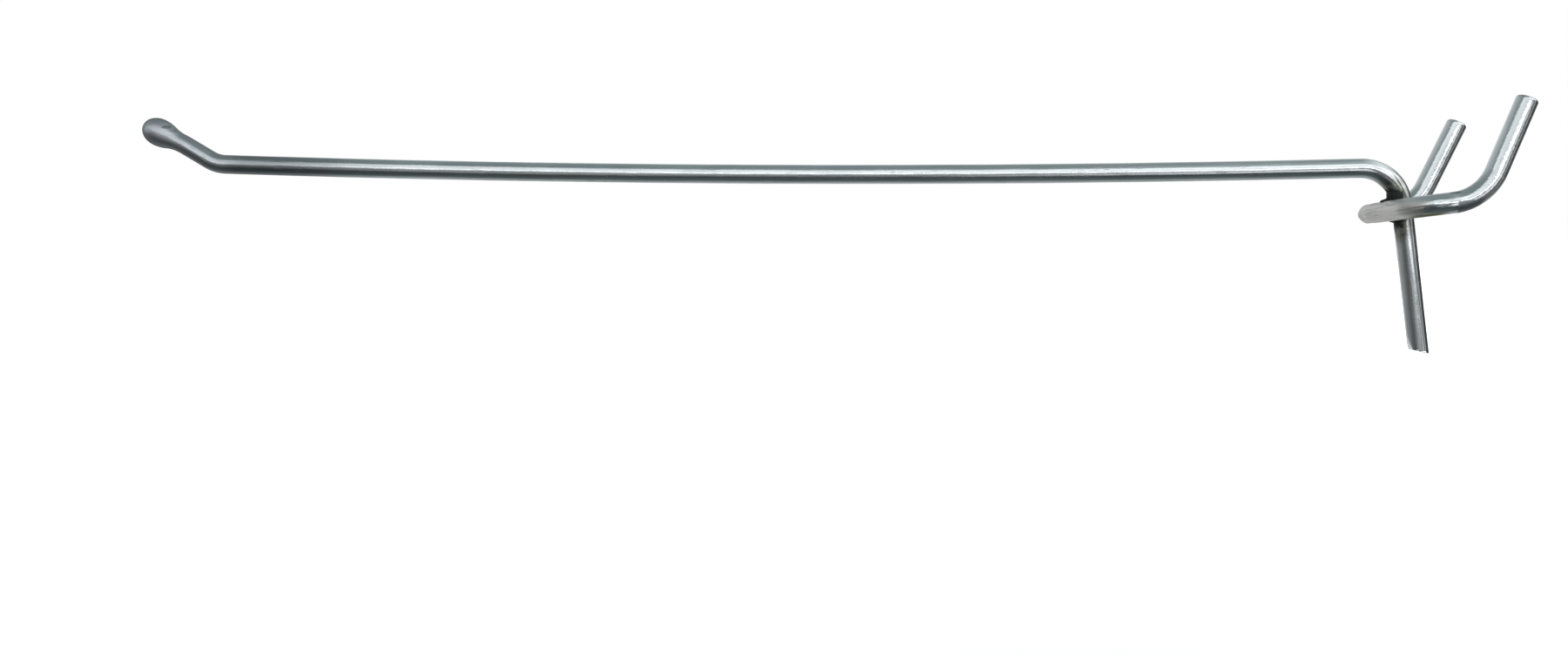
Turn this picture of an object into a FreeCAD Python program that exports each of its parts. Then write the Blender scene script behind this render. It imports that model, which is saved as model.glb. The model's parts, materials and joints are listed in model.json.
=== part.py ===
import FreeCAD, Part
import math
import os

# A pegboard hook made of two round steel wires.
# The peg wire is bent once at its root, so that a short leg lies down the board's face and a long arm
# points away from it, and its free end is upset into a ball. The back staple is a U of slightly thicker
# wire whose front is welded across the leg and whose two prongs pass through neighbouring board holes
# and turn up behind the board.
#
# Lengths are in millimetres and angles in degrees.
# +X points into the board and +Z up. The origin is on the board's front face, midway between the two
# holes that the staple hangs in.

# Wire stock
peg_wire_diameter = 2.95
staple_wire_diameter = 3.1

# Board that the hook hangs on
hole_pitch = 25.4

# Peg wire, from the leg's cut end to the root bend
leg_drop = 21.85
leg_shear_angle = 20.0
leg_pinch_height = 3.8
leg_pinch_depth = 0.7
root_bend_start = 0.75
root_bend_radius = 6.25

# Arm, a single long arc that sags a little between its two ends
arm_chord = 174.6
arm_rise_angle = 7.3
arm_sag = 1.23

# Turned-up end and its ball
tip_bend_radius = 5.5
tip_bend_angle = 28.6
tip_straight = 4.3
ball_droop_radius = 10.0
ball_droop_angle = 4.8
neck_length = 3.9
neck_hollow_share = 0.48
ball_diameter = 4.35
ball_nose_stretch = 0.48

# Back staple
staple_corner_radius = 4.7
staple_leg_straight = 0.25
prong_bend_radius = 7.4
right_prong_angle = 60.9
left_prong_angle = 57.4
prong_straight = 11.1
prong_end_rounding = 0.4

# Weld where the staple's front crosses the leg
weld_set_down = 0.6
weld_flash_proud = 0.4
weld_flash_thickness = 1.9
weld_flash_lead = 0.2

peg_wire_radius = peg_wire_diameter / 2
staple_wire_radius = staple_wire_diameter / 2

# The leg touches the board's face, and the weld presses the staple's front into the leg
leg_axis_x = -peg_wire_radius
leg_front_x = -peg_wire_diameter
staple_front_x = leg_front_x - staple_wire_radius + weld_set_down

ORIGIN = FreeCAD.Vector(0, 0, 0)
BACK = FreeCAD.Vector(1, 0, 0)
LEFT = FreeCAD.Vector(0, 1, 0)
RIGHT = FreeCAD.Vector(0, -1, 0)
UP = FreeCAD.Vector(0, 0, 1)
DOWN = FreeCAD.Vector(0, 0, -1)


class WireFormer:
    """Feeds and bends one round wire, and keeps each stretch that it has formed."""

    def __init__(self, diameter, start, heading):
        self.radius = diameter / 2
        self.point = start
        self.heading = heading
        self.stretches = []
        self.fed_length = 0

    def straight(self, length):
        self.stretches.append(Part.makeCylinder(self.radius, length, self.point, self.heading))
        self.point = self.point + self.heading * length
        self.fed_length += length

    def bend(self, centreline_radius, angle, about):
        """Turns the heading about the given direction, by the right-hand rule."""
        centre = self.point + about.cross(self.heading) * centreline_radius
        outline = Part.Wire(Part.makeCircle(self.radius, self.point, self.heading))
        self.stretches.append(Part.Face(outline).revolve(centre, about, angle))
        turn = FreeCAD.Rotation(about, angle)
        self.point = centre + turn.multVec(self.point - centre)
        self.heading = turn.multVec(self.heading)
        self.fed_length += centreline_radius * math.radians(angle)

    def turned_end(self, edges, length):
        """Ends the wire with a form turned about its axis. The edges join points (distance, radius)."""
        spin_face = Part.Face(Part.Wire(Part.__sortEdges__(edges)))
        form = spin_face.revolve(ORIGIN, BACK, 360)
        form.Placement = FreeCAD.Placement(self.point, FreeCAD.Rotation(BACK, self.heading))
        self.stretches.append(form)
        self.fed_length += length

    def joined(self):
        return self.stretches[0].multiFuse(self.stretches[1:]).removeSplitter()


def at(distance, radius):
    """A point of a turned outline, which lies in the XY plane with its axis along X."""
    return FreeCAD.Vector(distance, radius, 0)


def line(start, end):
    return Part.LineSegment(start, end).toShape()


def arc(centre, radius, start_angle, end_angle):
    """An arc in the XY plane, anticlockwise from the first angle to the second."""
    circle = Part.Circle(centre, UP, radius)
    return Part.Arc(circle, math.radians(start_angle), math.radians(end_angle)).toShape()


def ball_outline(wire_radius, ball_radius):
    """Half outline of the upset ball: the wire swells through a hollow neck and a full shoulder to the
    ball's widest place, and a slightly long nose closes it."""
    swell_turn = 2 * math.atan2(ball_radius - wire_radius, neck_length)
    both_radii = neck_length / math.sin(swell_turn)
    hollow_radius = both_radii * neck_hollow_share
    shoulder_radius = both_radii - hollow_radius
    turn = math.degrees(swell_turn)

    widest = at(neck_length, ball_radius)
    nose = Part.Ellipse(at(neck_length, 0), ball_radius + ball_nose_stretch, ball_radius)
    nose_tip = at(neck_length + ball_radius + ball_nose_stretch, 0)
    return [
        line(at(0, 0), at(0, wire_radius)),
        arc(at(0, wire_radius + hollow_radius), hollow_radius, 270, 270 + turn),
        arc(widest - at(0, shoulder_radius), shoulder_radius, 90, 90 + turn),
        Part.Arc(nose, 0, math.pi / 2).toShape(),
        line(nose_tip, at(0, 0)),
    ]


def rounded_rod_outline(length, wire_radius, rounding):
    """Half outline of a straight wire end whose rim is rounded."""
    rim_centre = at(length - rounding, wire_radius - rounding)
    return [
        line(at(0, 0), at(0, wire_radius)),
        line(at(0, wire_radius), at(length - rounding, wire_radius)),
        arc(rim_centre, rounding, 0, 90),
        line(at(length, wire_radius - rounding), at(length, 0)),
        line(at(length, 0), at(0, 0)),
    ]


def sheared_leg(leg):
    """Trims the leg's lower end as a shear does: on a slant, with the front drawn in above the cut."""
    overcut = 0.03
    front_x = leg_front_x - overcut
    back_x = overcut
    pinch_radius = (leg_pinch_height**2 + leg_pinch_depth**2) / (2 * leg_pinch_depth)
    half_turn = math.asin(leg_pinch_height / pinch_radius) / 2

    def on_cut(x):
        drop = leg_drop + (leg_axis_x - x) * math.tan(math.radians(leg_shear_angle))
        return FreeCAD.Vector(x, -peg_wire_diameter, -drop)

    toe = on_cut(front_x + leg_pinch_depth)
    heel = on_cut(back_x)
    pinch_start = toe + FreeCAD.Vector(-leg_pinch_depth, 0, leg_pinch_height)
    to_middle = FreeCAD.Vector(1 - math.cos(half_turn), 0, -math.sin(half_turn))
    pinch_middle = pinch_start + to_middle * pinch_radius
    back_top = FreeCAD.Vector(back_x, -peg_wire_diameter, leg_drop)
    front_top = FreeCAD.Vector(front_x, -peg_wire_diameter, leg_drop)
    outline = [
        Part.Arc(pinch_start, pinch_middle, toe).toShape(),
        line(toe, heel),
        line(heel, back_top),
        line(back_top, front_top),
        line(front_top, pinch_start),
    ]
    return leg.common(Part.Face(Part.Wire(outline)).extrude(LEFT * 2 * peg_wire_diameter))


def make_peg_wire():
    shear_allowance = peg_wire_diameter
    start = FreeCAD.Vector(leg_axis_x, 0, -leg_drop - shear_allowance)
    former = WireFormer(peg_wire_diameter, start, UP)
    former.straight(shear_allowance + leg_drop + root_bend_start)
    former.stretches[0] = sheared_leg(former.stretches[0])

    arm_radius = arm_chord**2 / (8 * arm_sag) + arm_sag / 2
    arm_sweep = 2 * math.degrees(math.asin(arm_chord / (2 * arm_radius)))
    former.bend(root_bend_radius, 90 - arm_rise_angle + arm_sweep / 2, RIGHT)
    former.bend(arm_radius, arm_sweep, LEFT)

    former.bend(tip_bend_radius, tip_bend_angle, LEFT)
    former.straight(tip_straight)
    former.bend(ball_droop_radius, ball_droop_angle, RIGHT)
    outline = ball_outline(peg_wire_radius, ball_diameter / 2)
    former.turned_end(outline, neck_length + ball_diameter / 2 + ball_nose_stretch)
    print("peg wire: cut length", round(former.fed_length - shear_allowance, 1), "mm")
    return former.joined()


def make_half_staple(side, prong_angle):
    """One half of the staple, from the middle of its front to the prong's rounded end."""
    away_from_middle = LEFT * side
    former = WireFormer(staple_wire_diameter, FreeCAD.Vector(staple_front_x, 0, 0), away_from_middle)
    former.straight(hole_pitch / 2 - staple_corner_radius)
    former.bend(staple_corner_radius, 90, DOWN * side)
    former.straight(staple_leg_straight)
    former.bend(prong_bend_radius, prong_angle, RIGHT)
    outline = rounded_rod_outline(prong_straight, staple_wire_radius, prong_end_rounding)
    former.turned_end(outline, prong_straight)
    print("staple half: cut length", round(former.fed_length, 1), "mm")
    return former.joined()


def make_back_staple(peg_wire):
    """The U-shaped staple, with the saddle that the welding presses into it where it crosses the leg."""
    right_half = make_half_staple(-1, right_prong_angle)
    left_half = make_half_staple(1, left_prong_angle)
    return right_half.fuse(left_half).removeSplitter().cut(peg_wire)


def make_weld_flash(peg_wire, back_staple):
    """The ring of metal that the weld squeezes out all round the crossing, up to both wires."""
    ring_radius = staple_wire_radius + weld_flash_proud - weld_flash_thickness / 2
    centre = FreeCAD.Vector((leg_axis_x + staple_front_x) / 2 - weld_flash_lead, 0, 0)
    ring = Part.makeTorus(ring_radius, weld_flash_thickness / 2, centre, BACK)
    return ring.cut([peg_wire, back_staple])


def export(node, shape):
    shape.exportStep(os.path.join("parts", node + ".step"))
    print(node, "solids", len(shape.Solids), "valid", shape.isValid(), "volume", round(shape.Volume, 2))


os.makedirs("parts", exist_ok=True)
peg_wire = make_peg_wire()
back_staple = make_back_staple(peg_wire)
export("peg_wire", peg_wire)
export("back_staple", back_staple)
export("weld_flash", make_weld_flash(peg_wire, back_staple))
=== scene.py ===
# %% [markdown]
# # A pegboard hook of zinc-plated wire
# The real hook is two pieces of round steel wire that were bent cold, welded where they cross, and then
# plated with bright zinc. Nearly all of its look comes from two things: a thin round bar that mirrors
# the room as long bands of light and dark, and the small marks of its making, such as drawing lines,
# scuffs, stretched plating at the tight corners and burnt metal round the weld, which is darkened further
# by painted shade where the wires cross. Some marks on the wires are painted shade and reflection too.
#
# The solids of the hook are loaded first and stay where they are. Every piece made here is in metres,
# in the same frame: +X points into the board, +Z is up, and the arm points along -X.

# %% Load the solids
import json
import math

import bpy
from mathutils import Matrix, Quaternion, Vector


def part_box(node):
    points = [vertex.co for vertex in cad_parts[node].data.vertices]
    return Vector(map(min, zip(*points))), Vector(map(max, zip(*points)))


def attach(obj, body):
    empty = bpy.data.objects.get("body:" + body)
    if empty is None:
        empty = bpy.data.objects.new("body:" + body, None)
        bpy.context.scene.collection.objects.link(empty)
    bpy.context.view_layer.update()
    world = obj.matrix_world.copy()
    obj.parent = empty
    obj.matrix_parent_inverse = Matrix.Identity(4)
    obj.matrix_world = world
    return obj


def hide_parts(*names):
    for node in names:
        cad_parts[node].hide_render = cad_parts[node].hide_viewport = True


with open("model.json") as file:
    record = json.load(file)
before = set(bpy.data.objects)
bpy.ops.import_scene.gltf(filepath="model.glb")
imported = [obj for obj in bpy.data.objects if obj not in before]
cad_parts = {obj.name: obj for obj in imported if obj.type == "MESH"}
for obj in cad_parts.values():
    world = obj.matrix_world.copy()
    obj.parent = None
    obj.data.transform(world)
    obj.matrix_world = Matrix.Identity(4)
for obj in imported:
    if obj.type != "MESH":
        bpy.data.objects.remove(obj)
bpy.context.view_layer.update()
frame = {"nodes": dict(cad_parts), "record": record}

print("solids:", sorted(frame["nodes"]))

# %% [markdown]
# ## The camera
# The hook is seen from its right side, from about 24 cm away. That is close for a thing 21 cm long, so
# the nearer prong looks a tenth larger than the further one. Three directions and a place fix the
# camera better than angles do, because each can be checked by itself.

# %% Set the camera
MM = 0.001
camera_place = Vector((-85.820, -227.193, -1.435)) * MM
camera_forward = Vector((-0.04722, 0.99863, -0.02267))
camera_up = Vector((0.11888, 0.02815, 0.99251))
picture_width = 1800
focal_length_in_pixels = 1691.85
sensor_width_in_mm = 36


def make_camera():
    camera = bpy.data.objects.new("camera", bpy.data.cameras.new("camera"))
    bpy.context.scene.collection.objects.link(camera)
    camera.data.sensor_width = sensor_width_in_mm
    camera.data.lens = focal_length_in_pixels / picture_width * sensor_width_in_mm
    camera.data.clip_start = 0.01
    right = camera_forward.cross(camera_up).normalized()
    up = right.cross(camera_forward).normalized()
    turn = Matrix((right, up, -camera_forward.normalized())).transposed()
    camera.matrix_world = Matrix.Translation(camera_place) @ turn.to_4x4()
    bpy.context.scene.camera = camera
    return camera


print("lens:", round(make_camera().data.lens, 2), "mm")

# %% [markdown]
# ## The sizes
# What the solids already say is read from them: how thick each wire is, how far the prongs stand apart,
# and the way that each prong and the arm point. The bends between those straights are settings of the
# wire former, so they are written down here as a setup sheet would list them.

# %% Read and name the sizes
mounts = {mount["name"]: mount for mount in frame["record"]["mounts"]}
peg_radius = mounts["arm"]["dims"]["r_mm"] * MM
arm_chord = mounts["arm"]["dims"]["length_mm"] * MM
arm_direction = Vector(mounts["arm"]["axis"])
arm_rise = math.atan2(arm_direction.z, -arm_direction.x)
staple_radius = mounts["right_prong"]["dims"]["r_mm"] * MM
hole_pitch = mounts["left_prong"]["pos_m"][1] - mounts["right_prong"]["pos_m"][1]

leg_shear_angle = math.radians(20.0)
leg_pinch_height = 3.8 * MM
leg_pinch_depth = 0.7 * MM
root_bend_start = 0.75 * MM
root_bend_radius = 6.25 * MM
root_bend_swell = 0.05
arm_sag = 1.23 * MM
tip_bend_radius = 5.5 * MM
tip_bend_angle = math.radians(28.6)
tip_straight = 4.3 * MM
ball_droop_radius = 10.0 * MM
ball_droop_angle = math.radians(4.8)
neck_length = 3.9 * MM
neck_hollow_share = 0.48
ball_radius = 2.175 * MM
ball_nose_stretch = 0.48 * MM
staple_corner_radius = 4.7 * MM
staple_leg_straight = 0.25 * MM
prong_bend_radius = 7.4 * MM
prong_straight = 11.1 * MM
prong_end_rounding = 0.41 * MM
weld_set_down = 0.6 * MM

leg_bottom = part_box("peg_wire")[0].z
leg_axis_x = -peg_radius
leg_front_x = -2 * peg_radius
staple_front_x = leg_front_x - staple_radius + weld_set_down
crossing = Vector(((leg_axis_x + staple_front_x) / 2, 0, 0))

LEFT, RIGHT = Vector((0, 1, 0)), Vector((0, -1, 0))
UP, DOWN = Vector((0, 0, 1)), Vector((0, 0, -1))
print("peg wire", round(2 * peg_radius / MM, 2), "mm, staple wire", round(2 * staple_radius / MM, 2), "mm")

# %% [markdown]
# ## Helpers for node trees
# Geometry and shader trees are both wired by the same few functions. An input is named by its label, or
# by its number where two share a label, and takes either a value or another node's output.

# %% Define the node helpers
def feed(made, feeds):
    for key, source in feeds.items():
        if isinstance(source, bpy.types.NodeSocket):
            made.id_data.links.new(source, made.inputs[key])
        else:
            made.inputs[key].default_value = source
    return made.outputs


def add_node(tree, kind, feeds=None, **settings):
    made = tree.nodes.new(kind)
    for name, value in settings.items():
        setattr(made, name, value)
    return feed(made, feeds or {})


def maths(tree, operation, *values):
    return add_node(tree, "ShaderNodeMath", dict(enumerate(values)), operation=operation)[0]


def vector_maths(tree, operation, *values):
    return add_node(tree, "ShaderNodeVectorMath", dict(enumerate(values)), operation=operation)[0]


def new_group(name, kind, inputs, outputs):
    """A node group with named sockets. Gives the tree, its input sockets and the node of its outputs."""
    tree = bpy.data.node_groups.new(name, kind)
    for label, (socket, value) in inputs.items():
        made = tree.interface.new_socket(label, in_out="INPUT", socket_type="NodeSocket" + socket)
        if value is not None:
            made.default_value = value
    for label, socket in outputs.items():
        tree.interface.new_socket(label, in_out="OUTPUT", socket_type="NodeSocket" + socket)
    return tree, tree.nodes.new("NodeGroupInput").outputs, tree.nodes.new("NodeGroupOutput")

# %% [markdown]
# ## Forming the wires
# A wire former feeds wire and bends it, and the centreline here is made the same way: straights and
# bends one after another. Each ring keeps how thick the wire is there, as a share of its stock, so that
# the upset ball, the rounded ends and the slight swelling of a tight bend are part of the same line.

# %% Define the wire's centreline
RING_STEP = 0.3 * MM


class Centreline:
    def __init__(self, start, heading, stock_radius):
        self.point, self.heading = start, heading
        self.stock_radius = stock_radius
        self.rings = [(start, 1.0)]

    def straight(self, length):
        count = math.ceil(length / RING_STEP)
        for k in range(1, count + 1):
            self.rings.append((self.point + self.heading * length * k / count, 1.0))
        self.point = self.rings[-1][0]

    def bend(self, radius, angle, about, swell=0.0):
        """Turns the heading about a direction, by the right-hand rule."""
        centre = self.point + about.cross(self.heading) * radius
        arm = self.point - centre
        count = math.ceil(radius * angle / RING_STEP)
        for k in range(1, count + 1):
            share = 1.0 + swell * math.sin(math.pi * k / count) ** 2
            self.rings.append((centre + Quaternion(about, angle * k / count) @ arm, share))
        self.point = self.rings[-1][0]
        self.heading = Quaternion(about, angle) @ self.heading

    def turned_end(self, outline):
        """Ends the wire with a turned form, given as steps of (distance, radius)."""
        for distance, radius in outline:
            self.rings.append((self.point + self.heading * distance, radius / self.stock_radius))

# %% Outline the ball and the rounded prong ends
ARC_STEPS = 10
NOSE_STEPS = 14
END_STEPS = 5


def arc_steps(centre, radius, start, end, count):
    """Points (distance, radius) on an arc of an outline, without its first."""
    angles = [start + (end - start) * k / count for k in range(1, count + 1)]
    return [(centre[0] + radius * math.cos(a), centre[1] + radius * math.sin(a)) for a in angles]


def ball_outline():
    """A hollow neck, a full shoulder and a slightly long nose."""
    turn = 2 * math.atan2(ball_radius - peg_radius, neck_length)
    both_radii = neck_length / math.sin(turn)
    hollow = both_radii * neck_hollow_share
    shoulder = both_radii - hollow
    quarter = math.pi / 2
    outline = arc_steps((0, peg_radius + hollow), hollow, -quarter, turn - quarter, ARC_STEPS)
    shoulder_centre = (neck_length, ball_radius - shoulder)
    outline += arc_steps(shoulder_centre, shoulder, quarter + turn, quarter, ARC_STEPS)
    nose_length = ball_radius + ball_nose_stretch
    for k in range(1, NOSE_STEPS + 1):
        angle = quarter * k / NOSE_STEPS
        outline.append((neck_length + nose_length * math.sin(angle), ball_radius * math.cos(angle)))
    return outline


def rounded_end_outline(length, radius, rounding):
    count = math.ceil((length - rounding) / RING_STEP)
    outline = [((length - rounding) * k / count, radius) for k in range(1, count + 1)]
    return outline + arc_steps((length - rounding, radius - rounding), rounding, math.pi / 2, 0, END_STEPS)


print("the ball and its neck have", len(ball_outline()), "steps")

# %% Lay out both wires
def peg_centreline():
    line = Centreline(Vector((leg_axis_x, 0, leg_bottom)), UP, peg_radius)
    line.straight(root_bend_start - leg_bottom)
    arm_radius = arm_chord**2 / (8 * arm_sag) + arm_sag / 2
    arm_sweep = 2 * math.asin(arm_chord / (2 * arm_radius))
    line.bend(root_bend_radius, math.pi / 2 - arm_rise + arm_sweep / 2, RIGHT, root_bend_swell)
    line.bend(arm_radius, arm_sweep, LEFT)
    line.bend(tip_bend_radius, tip_bend_angle, LEFT)
    line.straight(tip_straight)
    line.bend(ball_droop_radius, ball_droop_angle, RIGHT)
    line.turned_end(ball_outline())
    return line.rings


def half_staple_centreline(side, prong):
    """From the middle of the staple's front to one prong's end."""
    line = Centreline(Vector((staple_front_x, 0, 0)), LEFT * side, staple_radius)
    line.straight(hole_pitch / 2 - staple_corner_radius)
    line.bend(staple_corner_radius, math.pi / 2, DOWN * side)
    line.straight(staple_leg_straight)
    prong_axis = mounts[prong]["axis"]
    line.bend(prong_bend_radius, math.atan2(prong_axis[2], prong_axis[0]), RIGHT)
    line.turned_end(rounded_end_outline(prong_straight, staple_radius, prong_end_rounding))
    return line.rings


peg_rings = peg_centreline()
staple_rings = half_staple_centreline(-1, "right_prong")[:0:-1] + half_staple_centreline(1, "left_prong")
print(len(peg_rings), "rings in the peg wire,", len(staple_rings), "in the staple")

# %% [markdown]
# ## Sweeping a round section
# A wire is one section carried along one line, which is what Curve to Mesh does. The tree also keeps
# where each point lay before the wire was bent: how far along, and where across the section. Patterns
# that read this place follow the wire round its bends with no seam, as the marks of drawing do.
# A slow noise in the same space pushes the surface by up to a few hundredths of a millimetre, mostly
# inwards, because drawn wire is never perfectly round, and its reflections waver for that reason.

# %% Build the sweep
seam_gap = 1e-7
sharpest_smooth_edge = math.radians(50)


def named_attribute(tree, name, kind):
    return add_node(tree, "GeometryNodeInputNamedAttribute", {"Name": name}, data_type=kind)[0]


def store_attribute(tree, geometry, name, value, kind):
    feeds = {"Geometry": geometry, "Name": name, "Value": value}
    return add_node(tree, "GeometryNodeStoreNamedAttribute", feeds, data_type=kind, domain="POINT")[0]


def build_wire_sweep():
    inputs = {
        "Centreline": ("Geometry", None),
        "Stock Radius": ("Float", 0.0015),
        "Facets": ("Int", 64),
        "Wave Length": ("Float", 0.009),
        "Wave Width": ("Float", 0.0014),
        "Wave Height": ("Float", 0.00001),
        "Wave Middle": ("Float", 0.65),
        "Seed": ("Float", 1.0),
        "Material": ("Material", None),
    }
    tree, given, result = new_group("wire_sweep", "GeometryNodeTree", inputs, {"Wire": "Geometry"})

    length = add_node(tree, "GeometryNodeSplineParameter")["Length"]
    line = store_attribute(tree, given["Centreline"], "along", length, "FLOAT")
    size = {"Resolution": given["Facets"], "Radius": given["Stock Radius"]}
    circle = add_node(tree, "GeometryNodeCurvePrimitiveCircle", size)["Curve"]
    place = add_node(tree, "GeometryNodeInputPosition")[0]
    circle = store_attribute(tree, circle, "section_place", place, "FLOAT_VECTOR")

    thickness = add_node(tree, "GeometryNodeInputRadius")[0]
    feeds = {"Curve": line, "Profile Curve": circle, "Scale": thickness, "Fill Caps": True}
    wire = add_node(tree, "GeometryNodeCurveToMesh", feeds)[0]

    section = named_attribute(tree, "section_place", "FLOAT_VECTOR")
    section = add_node(tree, "ShaderNodeSeparateXYZ", {0: section})
    along = named_attribute(tree, "along", "FLOAT")
    unbent = add_node(tree, "ShaderNodeCombineXYZ", {0: along, 1: section[0], 2: section[1]})[0]
    wire = store_attribute(tree, wire, "unbent", unbent, "FLOAT_VECTOR")
    wire = add_node(tree, "GeometryNodeMergeByDistance", {"Geometry": wire, "Distance": seam_gap})[0]

    waves = [maths(tree, "DIVIDE", along, given["Wave Length"])]
    waves += [maths(tree, "DIVIDE", section[k], given["Wave Width"]) for k in (0, 1)]
    wave_place = add_node(tree, "ShaderNodeCombineXYZ", dict(enumerate(waves)))[0]
    feeds = {"Vector": wave_place, "W": given["Seed"], "Scale": 1.0, "Detail": 3.0}
    noise = add_node(tree, "ShaderNodeTexNoise", feeds, noise_dimensions="4D")[0]
    push = maths(tree, "SUBTRACT", noise, given["Wave Middle"])
    push = maths(tree, "MULTIPLY", push, given["Wave Height"])
    normal = add_node(tree, "GeometryNodeInputNormal")[0]
    offset = add_node(tree, "ShaderNodeVectorMath", {0: normal, "Scale": push}, operation="SCALE")[0]
    wire = add_node(tree, "GeometryNodeSetPosition", {"Geometry": wire, "Offset": offset})[0]

    angle = add_node(tree, "GeometryNodeInputMeshEdgeAngle")[0]
    crease = maths(tree, "GREATER_THAN", angle, sharpest_smooth_edge)
    wire = add_node(tree, "GeometryNodeSetShadeSmooth", {0: wire, 2: True}, domain="FACE")[0]
    wire = add_node(tree, "GeometryNodeSetShadeSmooth", {0: wire, 1: crease, 2: False}, domain="EDGE")[0]
    wire = add_node(tree, "GeometryNodeRealizeInstances", {0: wire})[0]
    wire = add_node(tree, "GeometryNodeSetMaterial", {"Geometry": wire, "Material": given["Material"]})[0]
    feed(result, {"Wire": wire})
    return tree


wire_sweep = build_wire_sweep()
print("wire_sweep has", len(wire_sweep.nodes), "nodes")

# %% Define how a tree's result becomes a piece
def centreline_object(name, open_lines, closed_line=None):
    curve = bpy.data.curves.new(name + "_line", "CURVE")
    curve.dimensions = "3D"
    lines = [(line, False) for line in open_lines]
    if closed_line:
        lines.append((closed_line, True))
    for line, closed in lines:
        spline = curve.splines.new("POLY")
        spline.points.add(len(line) - 1)
        for point, (place, share) in zip(spline.points, line):
            point.co = (*place, 1)
            point.radius = share
        spline.use_cyclic_u = closed
    line = bpy.data.objects.new(name + "_line", curve)
    bpy.context.scene.collection.objects.link(line)
    return line


def finished_piece(name, source, tree, values):
    """Runs a geometry tree on the source object, and gives the result as a plain mesh object."""
    modifier = source.modifiers.new("build", "NODES")
    modifier.node_group = tree
    for item in tree.interface.items_tree:
        if item.item_type == "SOCKET" and item.in_out == "INPUT" and item.name in values:
            modifier[item.identifier] = values[item.name]
    bpy.context.view_layer.update()
    evaluated = source.evaluated_get(bpy.context.evaluated_depsgraph_get())
    mesh = bpy.data.meshes.new_from_object(evaluated)
    mesh.name = name
    bpy.data.objects.remove(source)
    piece = bpy.data.objects.new(name, mesh)
    bpy.context.scene.collection.objects.link(piece)
    print(name, "has", sum(len(face.vertices) - 2 for face in mesh.polygons), "triangles")
    return piece


def hand_over(piece, node):
    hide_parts(node)
    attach(piece, "root")

# %% [markdown]
# ## The finish of the wire
# Bright zinc is a soft, slightly blue metal layer over drawn steel. Several effects make it up, and both
# wires use them: fine lines along the wire from the drawing die, ripples that fray the edges of each
# reflection, and scuffs where hooks rub together in their box. Where the wire was stretched or pressed,
# its plating is wrinkled, and the wrinkles' hollows are darkened as painted shade. They put out values
# only, and each wire's own material decides what they do.

# %% Build the drawn zinc effect
def range_mask(tree, value, start, end):
    feeds = {"Value": value, "From Min": start, "From Max": end}
    return add_node(tree, "ShaderNodeMapRange", feeds, interpolation_type="SMOOTHSTEP")[0]


def stretched_noise(tree, place, along, across, detail=2.0, shift=0.0):
    """Noise with so many grains in a metre along the wire, and so many across it."""
    feeds = {"Vector": place, "Scale": (along, across, across), "Location": (shift, 0, 0)}
    mapped = add_node(tree, "ShaderNodeMapping", feeds)[0]
    return add_node(tree, "ShaderNodeTexNoise", {"Vector": mapped, "Scale": 1.0, "Detail": detail})[0]


def build_drawn_zinc():
    inputs = {
        "Unbent Place": ("Vector", None),
        "Wrinkles": ("Float", 0.0),
        "Grain": ("Float", 0.3),
        "Scuff Share": ("Float", 0.5),
    }
    outputs = {"Tone": "Float", "Scuff": "Float", "Crease Shade": "Float", "Height in Microns": "Float"}
    tree, given, result = new_group("drawn_zinc", "ShaderNodeTree", inputs, outputs)
    place = given["Unbent Place"]

    drawing_lines = stretched_noise(tree, place, 40, 7000)
    ripples = stretched_noise(tree, place, 420, 2100, 2.5)
    grain = stretched_noise(tree, place, 2600, 4200, 2.0, 1.0)
    wrinkles = stretched_noise(tree, place, 150, 3300, 4.0, 3.0)
    patches = stretched_noise(tree, place, 75, 500, 1.0, 9.0)
    streaks = stretched_noise(tree, place, 620, 7200, 1.5, 5.0)
    nicks = stretched_noise(tree, place, 2200, 5200, 1.0, 7.0)

    # Noise is rarely far from 0.5, so the nicks' mask, which starts at 0.755, leaves only specks.
    worn = range_mask(tree, patches, 0.42, 0.62)
    over = maths(tree, "MULTIPLY_ADD", given["Scuff Share"], 0.14, maths(tree, "SUBTRACT", streaks, 0.72))
    scuff = maths(tree, "MULTIPLY", range_mask(tree, over, 0.0, 0.07), worn)
    scuff = maths(tree, "MAXIMUM", scuff, range_mask(tree, nicks, 0.755, 0.79))
    # Painted shade: where the wrinkles sink, the colour is to be darker.
    crease_shade = maths(tree, "MULTIPLY", range_mask(tree, wrinkles, 0.52, 0.34), given["Wrinkles"])

    # All heights and depths here are in microns.
    line_height, ripple_height, worn_ripple_height = 0.8, 8.0, 14.0
    grain_height, wrinkle_height, scuff_depth = 16.0, 60.0, 3.0

    def around_zero(value, height):
        return maths(tree, "MULTIPLY", maths(tree, "SUBTRACT", value, 0.5), height)

    parts = [
        around_zero(drawing_lines, line_height),
        around_zero(ripples, maths(tree, "MULTIPLY_ADD", worn, worn_ripple_height, ripple_height)),
        around_zero(grain, maths(tree, "MULTIPLY", given["Grain"], grain_height)),
        around_zero(wrinkles, maths(tree, "MULTIPLY", given["Wrinkles"], wrinkle_height)),
    ]
    height = maths(tree, "MULTIPLY", scuff, -scuff_depth)
    for part in parts:
        height = maths(tree, "ADD", height, part)
    clouds = stretched_noise(tree, place, 120, 700, 3.0)
    tone = maths(tree, "MULTIPLY_ADD", drawing_lines, 0.3, maths(tree, "MULTIPLY", clouds, 0.7))
    feed(result, {"Tone": tone, "Scuff": scuff, "Crease Shade": crease_shade, "Height in Microns": height})
    return tree


drawn_zinc = build_drawn_zinc()
print("drawn_zinc has", len(drawn_zinc.nodes), "nodes")

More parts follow.
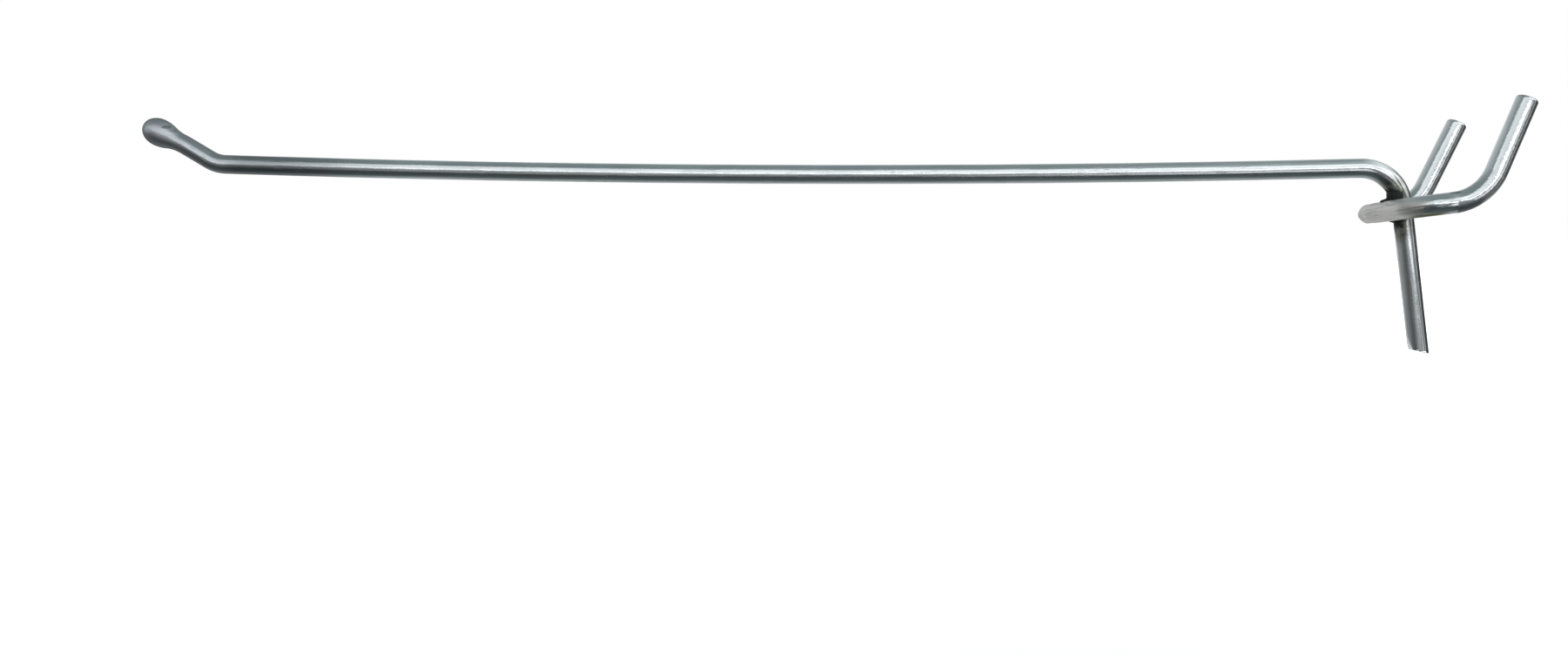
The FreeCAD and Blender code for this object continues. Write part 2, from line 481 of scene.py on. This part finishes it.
# %% Build the stain effect
def build_stain():
    """A ragged stain round a centre: its core, and the fringe that fades out beyond it."""
    inputs = {
        "Place": ("Vector", None),
        "Centre": ("Vector", None),
        "Reach": ("Vector", None),
        "Raggedness Scale": ("Float", 1100.0),
    }
    tree, given, result = new_group("stain", "ShaderNodeTree", inputs, {"Core": "Float", "Fringe": "Float"})
    away = vector_maths(tree, "SUBTRACT", given["Place"], given["Centre"])
    shares = vector_maths(tree, "DIVIDE", away, given["Reach"])
    distance = add_node(tree, "ShaderNodeVectorMath", {0: shares}, operation="LENGTH")["Value"]
    feeds = {"Vector": given["Place"], "Scale": given["Raggedness Scale"], "Detail": 4.0}
    noise = add_node(tree, "ShaderNodeTexNoise", feeds)[0]
    raggedness = 0.7
    uneven = maths(tree, "MULTIPLY", maths(tree, "SUBTRACT", noise, 0.5), raggedness)
    uneven = maths(tree, "ADD", distance, uneven)
    core = range_mask(tree, uneven, 1.12, 0.78)
    fringe = range_mask(tree, uneven, 1.75, 0.95)
    feed(result, {"Core": core, "Fringe": fringe})
    return tree


stain = build_stain()
print("stain has", len(stain.nodes), "nodes")

# %% [markdown]
# ## The materials of the wires
# The peg wire and the staple wire differ in where they are worn. The peg wire is darker and duller towards
# its ball, a little rubbed along its arm, and burnt down the front of its leg, where painted shade also
# darkens the joint. Painted shade lies along the top of its neck and at the neck's crease, and darkens the
# edges of its dull end. The staple's front was pressed by the welding electrode, so it is matte and
# wrinkled there. Its near leg carries a painted dark reflection with a sharp upper edge, and the underside
# of the corner is tinted olive.

# %% Define what every material needs
def use_group(tree, group, feeds):
    return add_node(tree, "ShaderNodeGroup", feeds, node_tree=group)


def mix_colour(tree, share, first, second):
    return add_node(tree, "ShaderNodeMix", {"Factor": share, 6: first, 7: second}, data_type="RGBA")[2]


def mix_value(tree, share, first, second):
    return add_node(tree, "ShaderNodeMix", {"Factor": share, 2: first, 3: second})[0]


def stain_at(tree, place, centre, reach, raggedness_scale=1100.0):
    """The stain round a centre, with how far it reaches along x, y and z in millimetres."""
    feeds = {"Place": place, "Centre": centre, "Reach": Vector(reach) * MM}
    return use_group(tree, stain, {**feeds, "Raggedness Scale": raggedness_scale})


def uneven_amount(tree, place, scale, size):
    """Noise round zero, to be added to a place so that the edge of a mask isn't straight."""
    noise = add_node(tree, "ShaderNodeTexNoise", {"Vector": place, "Scale": scale, "Detail": 3.0})[0]
    return maths(tree, "MULTIPLY", maths(tree, "SUBTRACT", noise, 0.5), size)


def region(tree, *ranges):
    """Where each value lies past the start of its range, in millimetres, as one mask."""
    masks = [range_mask(tree, value, start * MM, end * MM) for value, start, end in ranges]
    whole = masks[0]
    for mask in masks[1:]:
        whole = maths(tree, "MULTIPLY", whole, mask)
    return whole


def new_material(name):
    material = bpy.data.materials.new(name)
    material.use_nodes = True
    tree = material.node_tree
    tree.nodes.clear()
    shader = tree.nodes.new("ShaderNodeBsdfPrincipled")
    feed(tree.nodes.new("ShaderNodeOutputMaterial"), {"Surface": shader.outputs[0]})
    place = add_node(tree, "ShaderNodeTexCoord")["Object"]
    return material, tree, shader, place

# %% Define the material of a plated wire
zinc_light = (0.69, 0.73, 0.75, 1)
zinc_dark = (0.585, 0.63, 0.65, 1)
zinc_scuffed = (0.30, 0.33, 0.345, 1)
# Painted shade for the hollows of the wrinkles.
zinc_in_crease_shade = (0.27, 0.285, 0.27, 1)
# Soot round the weld, which also stands in as painted shade where the wires cross.
soot_and_shade_colour = (0.008, 0.011, 0.010, 1)
straw_colour = (0.17, 0.17, 0.125, 1)
bright_roughness = 0.12
scuff_roughness = 0.2
soot_roughness = 0.6
soot_metallic = 0.3


def make_wire_material(name, wear, scuff_share, grain, burn_and_shade_centre, burn_and_shade_reach):
    """The wear function says where the wire is dull and wrinkled, the colour there, and how rough it is."""
    material, tree, shader, place = new_material(name)
    unbent = add_node(tree, "ShaderNodeAttribute", attribute_name="unbent")["Vector"]
    dull, wrinkled, dull_colour, roughness = wear(tree, place)
    feeds = {"Unbent Place": unbent, "Wrinkles": wrinkled, "Scuff Share": scuff_share, "Grain": grain}
    zinc = use_group(tree, drawn_zinc, feeds)
    burn_and_shade = stain_at(tree, place, burn_and_shade_centre, burn_and_shade_reach)

    colour = mix_colour(tree, range_mask(tree, zinc["Tone"], 0.35, 0.65), zinc_dark, zinc_light)
    colour = mix_colour(tree, dull, colour, dull_colour)
    # Painted shade in the hollows of the wrinkles.
    colour = mix_colour(tree, maths(tree, "MULTIPLY", zinc["Crease Shade"], 0.6), colour, zinc_in_crease_shade)
    colour = mix_colour(tree, maths(tree, "MULTIPLY", zinc["Scuff"], 0.7), colour, zinc_scuffed)
    colour = mix_colour(tree, maths(tree, "MULTIPLY", burn_and_shade["Fringe"], 0.8), colour, straw_colour)
    # Near-black soot at the weld, darkened as painted shade where the wires cross.
    colour = mix_colour(tree, burn_and_shade["Core"], colour, soot_and_shade_colour)
    roughness = maths(tree, "MULTIPLY_ADD", zinc["Scuff"], scuff_roughness, roughness)
    roughness = mix_value(tree, burn_and_shade["Core"], roughness, soot_roughness)
    metallic = mix_value(tree, burn_and_shade["Core"], 1.0, soot_metallic)
    bump = {"Strength": 1.0, "Distance": 0.001 * MM, "Height": zinc["Height in Microns"]}
    normal = add_node(tree, "ShaderNodeBump", bump)[0]
    feed(shader, {"Base Color": colour, "Roughness": roughness, "Metallic": metallic, "Normal": normal})
    return material

# %% Say where the peg wire is worn
# Colours of the peg wire's dull end: darker towards the ball, lighter on the tip's straight and the ball.
dull_end_zinc = (0.31, 0.335, 0.355, 1)
tip_zinc = (0.47, 0.505, 0.535, 1)
ball_zinc = (0.445, 0.475, 0.51, 1)
# Painted shade for the dull end's edges that turn away from the camera.
ball_rim_shade = (0.12, 0.13, 0.145, 1)
neck_shade = (0.24, 0.26, 0.28, 1)
fold_shade = (0.13, 0.14, 0.155, 1)
rubbed_roughness, tip_roughness, ball_roughness = 0.22, 0.28, 0.42

# Painted shade: a dark band along the top of the neck, and a darker spot at the neck's crease.
neck_crease_shade_spot = Vector((-187.9, -1.7, 35.9)) * MM
neck_hollow = Vector((-187.0, -1.5, 35.35)) * MM


def peg_wear(tree, place):
    x = add_node(tree, "ShaderNodeSeparateXYZ", {0: place})[0]
    uneven_x = maths(tree, "ADD", x, uneven_amount(tree, place, 260.0, 6 * MM))
    # Darker and rougher from 150 mm out towards the ball end.
    dull_end = region(tree, (uneven_x, -150.0, -173.0))
    on_tip = region(tree, (uneven_x, -176.5, -181.5))
    on_ball = region(tree, (x, -185.0, -188.5))
    rubbed = region(tree, (x, -6.0, -16.0))
    edge = add_node(tree, "ShaderNodeLayerWeight", {"Blend": 0.5})["Facing"]
    hollow = stain_at(tree, place, neck_hollow, (0.85, 0.8, 0.33), 2200.0)["Fringe"]
    crease_shade = stain_at(tree, place, neck_crease_shade_spot, (0.75, 0.7, 0.25), 3500.0)["Fringe"]

    colour = mix_colour(tree, on_tip, dull_end_zinc, tip_zinc)
    colour = mix_colour(tree, on_ball, colour, ball_zinc)
    # Painted shade: the dull end darkens towards its silhouette.
    colour = mix_colour(tree, range_mask(tree, edge, 0.35, 0.88), colour, ball_rim_shade)
    # Painted shade along the top of the neck and at its crease.
    colour = mix_colour(tree, maths(tree, "MULTIPLY", hollow, 0.9), colour, neck_shade)
    colour = mix_colour(tree, maths(tree, "MULTIPLY", crease_shade, 0.8), colour, fold_shade)
    roughness = mix_value(tree, rubbed, bright_roughness, rubbed_roughness)
    roughness = mix_value(tree, dull_end, roughness, mix_value(tree, on_ball, tip_roughness, ball_roughness))
    return dull_end, maths(tree, "MULTIPLY", dull_end, 0.15), colour, roughness

# %% Say where the staple is worn
pressed_zinc = (0.62, 0.62, 0.605, 1)
clean_zinc = (0.58, 0.605, 0.61, 1)
# An olive tint for the underside of the corner.
olive_underside_colour = (0.25, 0.24, 0.13, 1)
# Painted dark reflection on the near leg.
dark_reflection_colour = (0.26, 0.285, 0.31, 1)
pressed_roughness = 0.45

top_nick = Vector((1.2, -13.4, 1.42)) * MM


def staple_wear(tree, place):
    x, y, z = add_node(tree, "ShaderNodeSeparateXYZ", {0: place})
    uneven = uneven_amount(tree, place, 700.0, 4 * MM)
    slightly = maths(tree, "MULTIPLY", uneven, 0.15)
    # Painted dark reflection: a band on the near leg with a sharp upper edge.
    dark_reflection_x = maths(tree, "ADD", slightly, x)
    dark_reflection_z = maths(tree, "ADD", slightly, z)

    pressed = region(tree, (maths(tree, "ADD", uneven, x), -2.2, -4.2))
    clean_top = region(tree, (maths(tree, "ADD", uneven, y), -3.4, -5.6), (z, 0.7, 1.05))
    dark_reflection_ends = region(tree, (dark_reflection_x, 0.95, 1.25), (dark_reflection_x, 5.2, 4.3))
    dark_reflection = maths(tree, "MULTIPLY", dark_reflection_ends, region(tree, (dark_reflection_z, 0.16, 0.02), (y, -12.0, -12.5)))
    # The underside of the corner is tinted olive.
    olive_underside = region(tree, (z, -1.0, -1.3), (y, -9.5, -11.5), (x, 1.0, -1.5))
    nick = stain_at(tree, place, top_nick, (0.9, 0.5, 0.22))["Core"]

    dark = maths(tree, "MAXIMUM", dark_reflection, nick)
    dull = maths(tree, "MAXIMUM", maths(tree, "MAXIMUM", pressed, olive_underside), dark)
    colour = mix_colour(tree, clean_top, pressed_zinc, clean_zinc)
    colour = mix_colour(tree, olive_underside, colour, olive_underside_colour)
    colour = mix_colour(tree, dark, colour, dark_reflection_colour)
    return dull, pressed, colour, mix_value(tree, dull, bright_roughness, pressed_roughness)

# %% Make both wires' materials
# Soot and straw heat tint round the weld on each wire; the soot also stands in as painted shade in the
# joint.
peg_burn_and_shade = crossing + Vector((-0.3, 0, 0.3)) * MM
staple_burn_and_shade = crossing + Vector((0.6, 0, 0)) * MM
peg_burn_and_shade_reach = (2.3, 3.0, 3.7)
staple_burn_and_shade_reach = (1.5, 2.0, 2.0)

peg_zinc = make_wire_material(
    "peg_zinc",
    peg_wear,
    scuff_share=0.7,
    grain=0.25,
    burn_and_shade_centre=peg_burn_and_shade,
    burn_and_shade_reach=peg_burn_and_shade_reach,
)
staple_zinc = make_wire_material(
    "staple_zinc",
    staple_wear,
    scuff_share=0.5,
    grain=1.0,
    burn_and_shade_centre=staple_burn_and_shade,
    burn_and_shade_reach=staple_burn_and_shade_reach,
)
print("made", peg_zinc.name, "and", staple_zinc.name)

# %% Make the weld's material
crust_black = (0.004, 0.005, 0.005, 1)
crust_grey = (0.022, 0.026, 0.022, 1)
crust_bump = 0.06 * MM


def make_burnt_weld():
    material, tree, shader, place = new_material("burnt_weld")
    noise = add_node(tree, "ShaderNodeTexNoise", {"Vector": place, "Scale": 2500.0, "Detail": 5.0})[0]
    colour = mix_colour(tree, range_mask(tree, noise, 0.4, 0.7), crust_black, crust_grey)
    normal = add_node(tree, "ShaderNodeBump", {"Strength": 0.8, "Distance": crust_bump, "Height": noise})[0]
    feed(shader, {"Base Color": colour, "Roughness": mix_value(tree, noise, 0.35, 0.75), "Normal": normal})
    shader.inputs["Metallic"].default_value = 0.4
    return material


burnt_weld = make_burnt_weld()
print("made", burnt_weld.name)

# %% [markdown]
# ## The peg wire
# One wire makes the leg, the arm and the ball. Its leg was cut by a shear, which left a slanted face and
# drew the front of the wire in above it.

# %% Form the peg wire
def shear_leg(mesh):
    """Moves the lowest points on to the slanted cut, and draws the front in above it."""
    pinch_top = leg_bottom + leg_pinch_height
    pinch_radius = (leg_pinch_height**2 + leg_pinch_depth**2) / (2 * leg_pinch_depth)
    for vertex in mesh.vertices:
        if vertex.co.z > pinch_top or vertex.co.x < leg_front_x - MM:
            continue
        drop = pinch_top - vertex.co.z
        front = leg_front_x + pinch_radius - math.sqrt(pinch_radius**2 - drop**2)
        vertex.co.x = max(vertex.co.x, front)
        cut = leg_bottom + max(-vertex.co.x, 0) * math.tan(leg_shear_angle)
        vertex.co.z = max(vertex.co.z, cut)


wave_height = 0.05 * MM
values = {"Stock Radius": peg_radius, "Wave Height": wave_height, "Seed": 3.0, "Material": peg_zinc}
line = centreline_object("peg", [peg_rings])
dressed_peg = finished_piece("dressed_peg_wire", line, wire_sweep, values)
shear_leg(dressed_peg.data)
hand_over(dressed_peg, "peg_wire")

# %% [markdown]
# ## The back staple
# The staple is bent from slightly thicker wire. Its left front corner was bent so tightly that the wire
# thinned along the outside of the bend, and its section is egg-shaped there.

# %% Form the back staple
corner_narrowing = 0.45
corner_thinning = 0.35 * MM
corner_lead_in = 4.0 * MM
corner_fade_angle = math.radians(45)
corner_inner_reach = 0.5


def smooth_step(value):
    value = min(max(value, 0.0), 1.0)
    return value * value * (3 - 2 * value)


def draw_left_corner(mesh):
    """Narrows and thins the section along the outside of the left corner."""
    corner_x = staple_front_x + staple_corner_radius
    corner_y = hole_pitch / 2 - staple_corner_radius
    for vertex in mesh.vertices:
        forward, sideways = corner_x - vertex.co.x, vertex.co.y - corner_y
        if forward <= 0 or sideways < -corner_lead_in:
            continue
        lead_in = smooth_step(1 + sideways / corner_lead_in)
        sideways = max(sideways, 0)
        reach = math.hypot(forward, sideways)
        turned = math.atan2(sideways, forward)
        fade = lead_in * smooth_step((math.pi / 2 - turned) / corner_fade_angle)
        outward = (reach - staple_corner_radius) / staple_radius
        share = fade * max((outward + corner_inner_reach) / (1 + corner_inner_reach), 0) ** 2
        vertex.co.z *= 1 - corner_narrowing * share
        vertex.co.x += corner_thinning * share * forward / reach
        vertex.co.y -= corner_thinning * share * sideways / reach


values = {"Stock Radius": staple_radius, "Wave Height": wave_height, "Seed": 8.0, "Material": staple_zinc}
line = centreline_object("staple", [staple_rings])
dressed_staple = finished_piece("dressed_back_staple", line, wire_sweep, values)
draw_left_corner(dressed_staple.data)
hand_over(dressed_staple, "back_staple")

# %% [markdown]
# ## The weld
# The weld is made by pressing the hot wires into each other. Metal is squeezed out of the joint into an
# uneven black lip all round it, up the front of the leg, and forward over the top of the staple. The same
# sweep forms all three, with a coarse noise.

# %% Form the weld's lip
lip_radius = 1.05 * MM
lip_thickness = 0.9 * MM
lip_lead = 0.2 * MM
lip_climb = 0.6 * MM
lip_thinning = 0.25
tongue_length = 2.25 * MM
tongue_height = 1.72 * MM
tongue_drop = 0.2 * MM
tongue_root = 0.5 * MM
tongue_root_share, tongue_tip_share = 0.5, 0.3
collar_bottom = 1.0 * MM
collar_height = 3.2 * MM
collar_lead = 0.45 * MM
collar_radius = 1.58 * MM
collar_narrowing = 0.52 * MM
collar_narrows_from, collar_narrows_over = 2.2 * MM, 1.6 * MM


def lip_line(count=120):
    """A ring round the joint, thinner and higher where it climbs the front of the leg."""
    rings = []
    for k in range(count):
        angle = 2 * math.pi * k / count
        top = max(math.cos(angle), 0) ** 3
        reach = lip_radius + lip_climb * top
        place = Vector((-lip_lead + 0.05 * MM * top, reach * math.sin(angle), reach * math.cos(angle)))
        rings.append((crossing + place, 1.0 - lip_thinning * top))
    return rings


def tongue_line(count=16):
    """A flat tongue of metal that ran forward over the top of the staple."""
    rings = []
    for k in range(count + 1):
        share = k / count
        forward = leg_front_x + tongue_root - tongue_length * share
        blunt_end = math.sqrt(1 - share**8)
        thickness = tongue_root_share + (tongue_tip_share - tongue_root_share) * share
        place = Vector((forward, 0, tongue_height - tongue_drop * share))
        rings.append((place, thickness * blunt_end + 0.03))
    return rings


def collar_line(count=24):
    """Follows the leg into its bend, a little ahead of it, and sinks into it higher up."""
    rings = []
    for k in range(count + 1):
        height = collar_bottom + collar_height * k / count
        rise = max(height - root_bend_start, 0)
        back = root_bend_radius - math.sqrt(root_bend_radius**2 - rise**2)
        narrowed = smooth_step((height - collar_narrows_from) / collar_narrows_over)
        radius = collar_radius - collar_narrowing * narrowed
        rings.append((Vector((leg_axis_x - back - collar_lead, 0, height)), radius / lip_thickness))
    return rings


values = {
    "Stock Radius": lip_thickness,
    "Facets": 32,
    "Wave Length": 0.9 * MM,
    "Wave Width": 0.6 * MM,
    "Wave Height": 0.4 * MM,
    "Seed": 5.0,
    "Material": burnt_weld,
}
lines = centreline_object("lip", [tongue_line(), collar_line()], lip_line())
weld_lip = finished_piece("weld_lip", lines, wire_sweep, values)
hand_over(weld_lip, "weld_flash")

# %% [markdown]
# ## The studio
# A mirror-like wire shows nothing but its surroundings, so the light is drawn as a few soft panels on
# the sky: windows in front of the hook at several heights, a dim slate-grey room, a white wall straight
# behind, a pale table below, and one dark card. Directions are given as they are seen from the hook. A
# camera ray sees plain white instead.

# %% Build the soft panel
def build_soft_panel():
    """Brightness of a soft-edged panel on the sky, seen in a direction."""
    inputs = {
        "Direction": ("Vector", None),
        "Centre": ("Vector", None),
        "Sideways": ("Vector", None),
        "Upward": ("Vector", None),
        "Half Width": ("Float", 0.5),
        "Half Height": ("Float", 0.5),
        "Edge": ("Float", 2.0),
        "Brightness": ("Float", 1.0),
    }
    tree, given, result = new_group("soft_panel", "ShaderNodeTree", inputs, {"Light": "Float"})

    def dot(axis):
        feeds = {0: given["Direction"], 1: given[axis]}
        return add_node(tree, "ShaderNodeVectorMath", feeds, operation="DOT_PRODUCT")["Value"]

    across = maths(tree, "POWER", maths(tree, "DIVIDE", dot("Sideways"), given["Half Width"]), 2.0)
    upward = maths(tree, "POWER", maths(tree, "DIVIDE", dot("Upward"), given["Half Height"]), 2.0)
    distance = maths(tree, "POWER", maths(tree, "ADD", across, upward), given["Edge"])
    glow = maths(tree, "EXPONENT", maths(tree, "MULTIPLY", distance, -1.0))
    in_front = maths(tree, "GREATER_THAN", dot("Centre"), 0.0)
    light = maths(tree, "MULTIPLY", maths(tree, "MULTIPLY", glow, in_front), given["Brightness"])
    feed(result, {"Light": light})
    return tree


soft_panel = build_soft_panel()
print("soft_panel has", len(soft_panel.nodes), "nodes")

# %% Place the panels and light the sky
# Each has its brightness, azimuth from -Y towards +X, elevation, roll, half width, half height, and how
# sharp its edge is. All angles are in degrees. The values were fitted to the reflections along the wires.
panels = {
    "low on the right": (1.03, 29.7, -18.7, 24.1, 25.9, 10.0, 5.0),
    "high on the left": (0.87, -23.3, 32.0, 9.2, 56.0, 17.6, 4.7),
    "haze high on the right": (1.00, 48.2, 33.9, 26.0, 70.0, 17.2, 1.0),
    "strip ahead": (1.84, 1.1, 7.7, -12.2, 36.3, 5.8, 4.0),
    "wash behind on the left": (0.46, -121.6, 20.9, -0.8, 61.9, 36.9, 1.3),
    "tall low panel": (0.48, 57.2, -10.7, -71.5, 42.8, 24.1, 4.9),
    "glint behind on the right": (0.20, 105.1, 46.5, -40.9, 32.4, 10.3, 4.1),
    "far right": (1.38, 70.7, 16.6, 0.0, 30.1, 14.6, 2.4),
    "narrow low panel": (0.25, 23.2, -6.6, 0.0, 11.7, 18.8, 3.7),
    "fill on the right": (0.66, 36.0, 12.4, 27.0, 22.2, 6.9, 2.1),
    "shade over the tall low panel": (-0.35, 47.5, -18.9, -65.4, 46.4, 23.9, 5.0),
}
slate_tint = (0.84, 1.01, 1.01)
darkest_slate = (0.06, 0.07, 0.07)
plain_white = (1, 1, 1, 1)
ceiling_glow = 0.29
ground_glow = 0.13
wall_brightness = 0.7
table_brightness = 0.3


def panel_feeds(brightness, azimuth, elevation, roll, half_width, half_height, edge):
    a, e = math.radians(azimuth), math.radians(elevation)
    centre = Vector((math.sin(a) * math.cos(e), -math.cos(a) * math.cos(e), math.sin(e)))
    sideways = Quaternion(centre, math.radians(roll)) @ UP.cross(centre).normalized()
    return {
        "Centre": centre,
        "Sideways": sideways,
        "Upward": centre.cross(sideways),
        "Half Width": math.sin(math.radians(half_width)),
        "Half Height": math.sin(math.radians(half_height)),
        "Edge": edge,
        "Brightness": brightness,
    }


def light_sky():
    world = bpy.data.worlds.new("studio")
    bpy.context.scene.world = world
    world.use_nodes = True
    tree = world.node_tree
    tree.nodes.clear()
    direction = add_node(tree, "ShaderNodeTexCoord")["Generated"]
    x, y, z = add_node(tree, "ShaderNodeSeparateXYZ", {0: direction})
    above = maths(tree, "MULTIPLY", maths(tree, "MAXIMUM", z, 0.0), ceiling_glow)
    below = maths(tree, "MINIMUM", z, 0.0)
    below = maths(tree, "MULTIPLY", maths(tree, "MULTIPLY", below, below), ground_glow)
    room = maths(tree, "ADD", above, below)
    wall = maths(tree, "POWER", maths(tree, "MAXIMUM", y, 0.0), 5.0)
    wall = maths(tree, "MULTIPLY", wall, wall_brightness)
    table = maths(tree, "MULTIPLY", range_mask(tree, y, -0.1, 0.5), range_mask(tree, z, 0.0, -0.6))
    windows = maths(tree, "MULTIPLY_ADD", table, table_brightness, wall)
    for panel in panels.values():
        feeds = {"Direction": direction, **panel_feeds(*panel)}
        windows = maths(tree, "ADD", windows, use_group(tree, soft_panel, feeds)["Light"])
    room = add_node(tree, "ShaderNodeVectorMath", {0: slate_tint, "Scale": room}, operation="SCALE")[0]
    white = add_node(tree, "ShaderNodeCombineXYZ", {0: windows, 1: windows, 2: windows})[0]
    colour = vector_maths(tree, "MAXIMUM", vector_maths(tree, "ADD", room, white), darkest_slate)
    seen = add_node(tree, "ShaderNodeLightPath")["Is Camera Ray"]
    colour = mix_colour(tree, seen, colour, plain_white)
    background = add_node(tree, "ShaderNodeBackground", {"Color": colour, "Strength": 1.0})[0]
    feed(tree.nodes.new("ShaderNodeOutputWorld"), {"Surface": background})
    return world


light_sky()
print(len(panels), "soft panels on the sky:", ", ".join(panels))

# %% [markdown]
# ## The floor
# The floor lies below the hook and takes its shadow from one small lamp overhead. Further out, where no
# shadow falls, it glows to plain white for the camera. It is clear when it is seen from below, so that
# the underside of the hook can be looked at too.

# %% Lay the floor
floor_height = -90 * MM
floor_reach = 3.0
floor_dark = (0.86, 0.86, 0.86, 1)
floor_light = (0.9, 0.9, 0.9, 1)
lamp_x, lamp_y, lamp_z = -0.09, 0.0, 0.9
lamp_size = 0.07
lamp_power = 5.2
glow_start, glow_full = 0.11, 0.25


def make_floor():
    square = ((-1, -1), (1, -1), (1, 1), (-1, 1))
    corners = [(x * floor_reach, y * floor_reach, floor_height) for x, y in square]
    mesh = bpy.data.meshes.new("floor")
    mesh.from_pydata(corners, [], [(0, 1, 2, 3)])
    floor = bpy.data.objects.new("floor", mesh)
    bpy.context.scene.collection.objects.link(floor)
    material, tree, shader, place = new_material("pale_floor")
    noise = add_node(tree, "ShaderNodeTexNoise", {"Vector": place, "Scale": 40.0, "Detail": 4.0})[0]
    colour = mix_colour(tree, noise, floor_dark, floor_light)
    away = vector_maths(tree, "SUBTRACT", place, (lamp_x, lamp_y, floor_height))
    away = add_node(tree, "ShaderNodeVectorMath", {0: away}, operation="LENGTH")["Value"]
    glow = range_mask(tree, away, glow_start, glow_full)
    seen = add_node(tree, "ShaderNodeLightPath")["Is Camera Ray"]
    feed(shader, {"Base Color": colour, "Emission Strength": maths(tree, "MULTIPLY", seen, glow)})
    shader.inputs["Roughness"].default_value = 0.9
    shader.inputs["Specular IOR Level"].default_value = 0.1
    shader.inputs["Emission Color"].default_value = plain_white
    from_below = add_node(tree, "ShaderNodeNewGeometry")["Backfacing"]
    clear = add_node(tree, "ShaderNodeBsdfTransparent")[0]
    both_sides = add_node(tree, "ShaderNodeMixShader", {0: from_below, 1: shader.outputs[0], 2: clear})[0]
    feed(tree.get_output_node("ALL"), {"Surface": both_sides})
    mesh.materials.append(material)
    floor.visible_glossy = False
    return floor


def hang_lamp():
    """A small soft lamp overhead, only for the shadow on the floor: the metal does not mirror it."""
    lamp = bpy.data.objects.new("overhead_lamp", bpy.data.lights.new("overhead_lamp", "AREA"))
    bpy.context.scene.collection.objects.link(lamp)
    lamp.location = (lamp_x, lamp_y, lamp_z)
    lamp.data.size = lamp_size
    lamp.data.energy = lamp_power
    lamp.visible_glossy = False
    return lamp


print(make_floor().name, "is", -floor_height / MM, "mm below the board's holes")
print(hang_lamp().name, "gives", lamp_power, "W")

# %% Finish
bpy.context.scene.view_settings.view_transform = "Standard"
